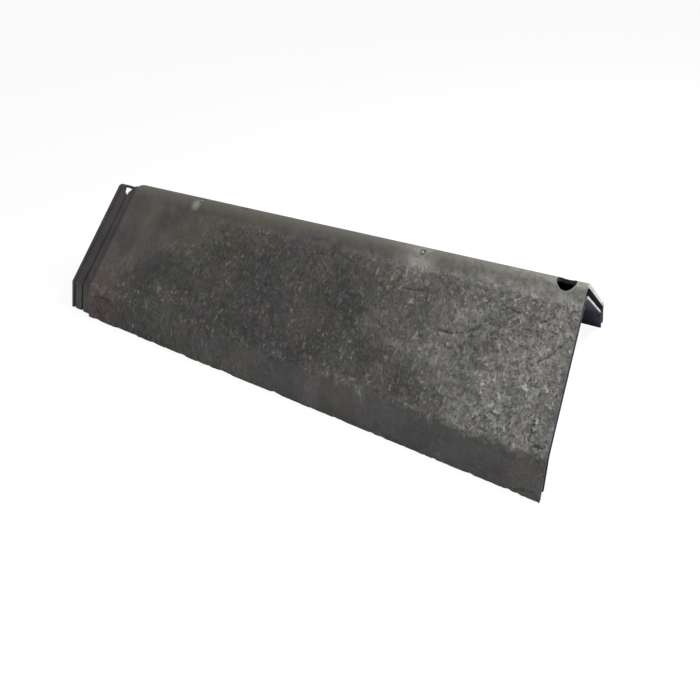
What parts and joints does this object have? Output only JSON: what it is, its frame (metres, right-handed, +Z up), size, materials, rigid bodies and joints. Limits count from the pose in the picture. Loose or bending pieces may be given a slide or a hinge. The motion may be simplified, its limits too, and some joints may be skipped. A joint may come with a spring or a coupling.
{
  "type": "hip cap",
  "caption": "Moulded slate-look hip and ridge cap: an inverted V with down-turned skirts, a stepped lap tongue at one end and a slotted open end with a screw hole.",
  "frame": {"origin": "midway between the two ends, under the ridge, level with the bottom edges", "axes": "+X along the ridge from the tongue to the open end, +Z up, Y across the wings"},
  "size_m": [0.5, 0.1962, 0.1039],
  "materials": {
    "slate_polymer": "riven slate texture, matt to satin, mottled dark grey with olive and brown"
  },
  "bodies": {
    "root": {"hip_cap": "slate_polymer"}
  },
  "joints": []
}
